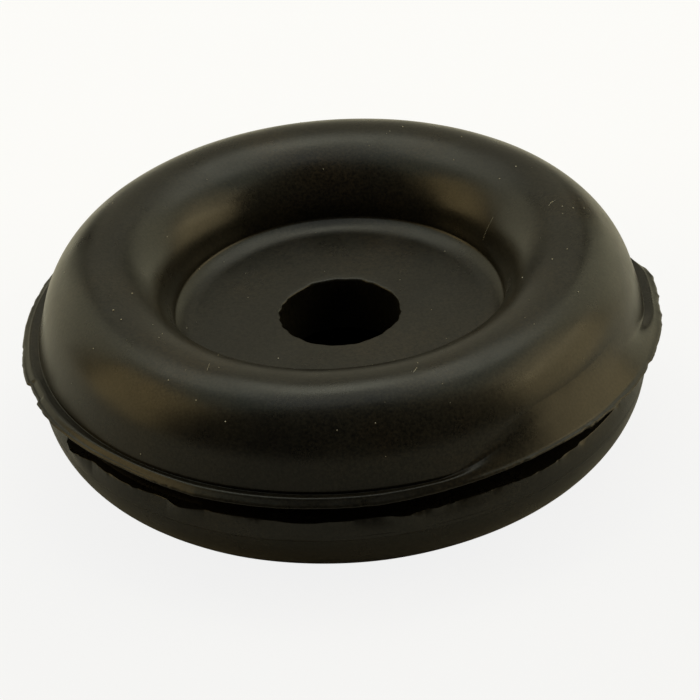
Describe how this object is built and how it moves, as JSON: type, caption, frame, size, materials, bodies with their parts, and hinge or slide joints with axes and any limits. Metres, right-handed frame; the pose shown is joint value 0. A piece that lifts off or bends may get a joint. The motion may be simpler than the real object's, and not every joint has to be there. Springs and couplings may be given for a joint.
{
  "type": "rubber grommet",
  "caption": "Round moulded rubber panel grommet with rounded ring flanges, an edge groove and a thin web with a cable hole.",
  "frame": {"origin": "centre of the cable hole, halfway through the web and the groove", "axes": "+Z along the cable hole towards the flange with the whole lip; +X and +Y lie in the middle plane of the groove"},
  "size_m": [0.0341, 0.034, 0.0106],
  "materials": {
    "rubber": "satin moulded black rubber"
  },
  "bodies": {
    "root": {"grommet": "rubber"}
  },
  "joints": []
}
